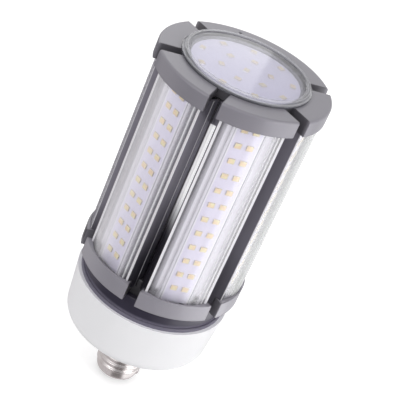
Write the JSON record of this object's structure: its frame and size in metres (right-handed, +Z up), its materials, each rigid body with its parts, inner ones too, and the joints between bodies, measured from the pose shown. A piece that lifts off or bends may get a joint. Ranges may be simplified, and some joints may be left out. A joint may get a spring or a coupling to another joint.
{
  "type": "corn led bulb",
  "caption": "Screw-in corn lamp: straight LED strips under clear covers round an open core, a clear lens on the lobed top cap and a tapered driver housing.",
  "frame": {"origin": "on the lamp's axis in the plane of the neck's underside, where the plain collar of the screw shell ends", "axes": "+Z up the lamp's axis from the screw base to the lens, +X out through the middle of strip 1"},
  "size_m": [0.093, 0.0929, 0.2119],
  "materials": {
    "lens_clear": "gloss",
    "cover_clear": "gloss",
    "cap_grey": "satin",
    "flange_dark": "satin",
    "profile_aluminium": "satin",
    "board_white": "satin",
    "led_cream": "satin",
    "housing_white": "satin",
    "shell_nickel": "polished",
    "insulator_dark": "gloss",
    "contact_nickel": "polished",
    "screw_steel": "satin",
    "driver_board_green": "satin",
    "can_sleeve": "gloss",
    "ferrite": "matte",
    "winding_copper": "satin",
    "film_case": "satin",
    "moulded_black": "matte",
    "lead_white": "matte",
    "lead_red": "matte"
  },
  "bodies": {
    "root": {"base_flange": "flange_dark", "bottom_ring": "cap_grey", "bridge_rectifier": "moulded_black", "cap_screws": "screw_steel", "centre_contact": "contact_nickel", "contact_lead": "lead_red", "driver_board": "driver_board_green", "driver_housing": "housing_white", "driver_screws": "screw_steel", "drum_inductor": "winding_copper", "film_capacitor": "film_case", "input_capacitor": "can_sleeve", "insulator": "insulator_dark", "output_capacitor": "can_sleeve", "output_leads": "lead_red", "ring_screws": "screw_steel", "screw_shell": "shell_nickel", "shell_lead": "lead_white", "strip_board_1": "board_white", "strip_board_2": "board_white", "strip_board_3": "board_white", "strip_board_4": "board_white", "strip_board_5": "board_white", "strip_board_6": "board_white", "strip_cover_1": "cover_clear", "strip_cover_2": "cover_clear", "strip_cover_3": "cover_clear", "strip_cover_4": "cover_clear", "strip_cover_5": "cover_clear", "strip_cover_6": "cover_clear", "strip_leads": "lead_white", "strip_leds_1": "led_cream", "strip_leds_2": "led_cream", "strip_leds_3": "led_cream", "strip_leds_4": "led_cream", "strip_leds_5": "led_cream", "strip_leds_6": "led_cream", "strip_profile_1": "profile_aluminium", "strip_profile_2": "profile_aluminium", "strip_profile_3": "profile_aluminium", "strip_profile_4": "profile_aluminium", "strip_profile_5": "profile_aluminium", "strip_profile_6": "profile_aluminium", "top_board": "board_white", "top_cap": "cap_grey", "top_leds": "led_cream", "top_lens": "lens_clear", "transformer": "ferrite"}
  },
  "joints": []
}
